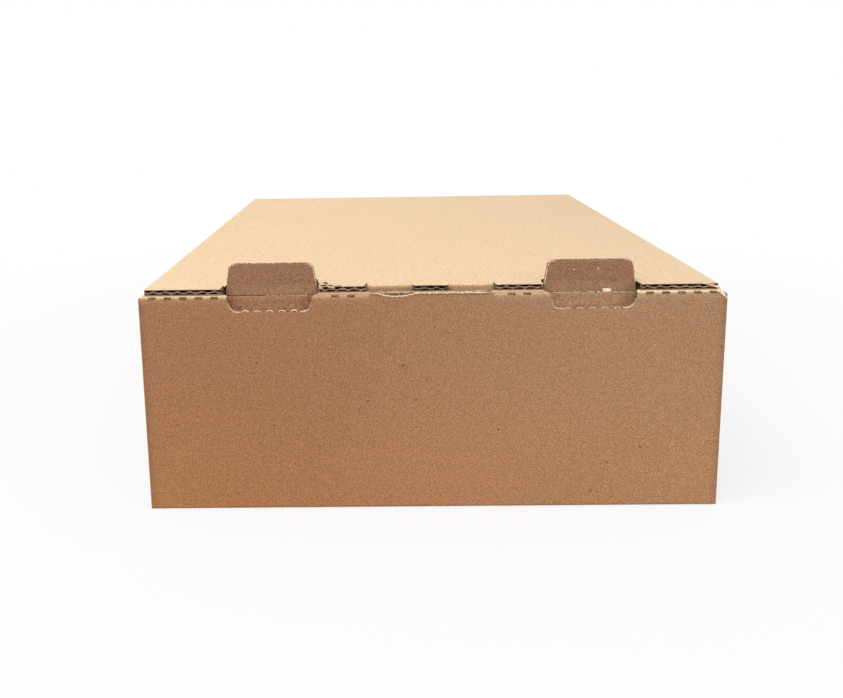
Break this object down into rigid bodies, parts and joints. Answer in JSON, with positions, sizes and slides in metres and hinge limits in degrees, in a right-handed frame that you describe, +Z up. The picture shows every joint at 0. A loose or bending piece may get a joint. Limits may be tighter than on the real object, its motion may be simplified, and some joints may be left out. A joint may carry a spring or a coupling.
{
  "type": "corrugated mailing box",
  "caption": "Flat square-cornered mailing box folded from one sheet of corrugated board, with rolled walls and a hinged tuck-in lid with standing tabs.",
  "frame": {"origin": "middle of the underside of the bottom panel", "axes": "+Z up, -Y towards the front wall with the tabs, +X to the right seen from the front"},
  "size_m": [0.3, 0.4, 0.131],
  "materials": {
    "tray_board": "brown kraft corrugated board, matt, fine fibre specks, faint flute lines",
    "lid_board": "brown kraft corrugated board, matt, fine fibre specks, open flutes on the cut edges"
  },
  "bodies": {
    "tray": {"tray": "tray_board"},
    "lid": {"lid": "lid_board"}
  },
  "joints": [
    {"name": "lid_hinge", "type": "hinge", "parent": "tray", "child": "lid", "pos_m": [0, 0.1985, 0.1178], "axis": [-1, 0, 0], "range_deg": [0, 180]}
  ]
}
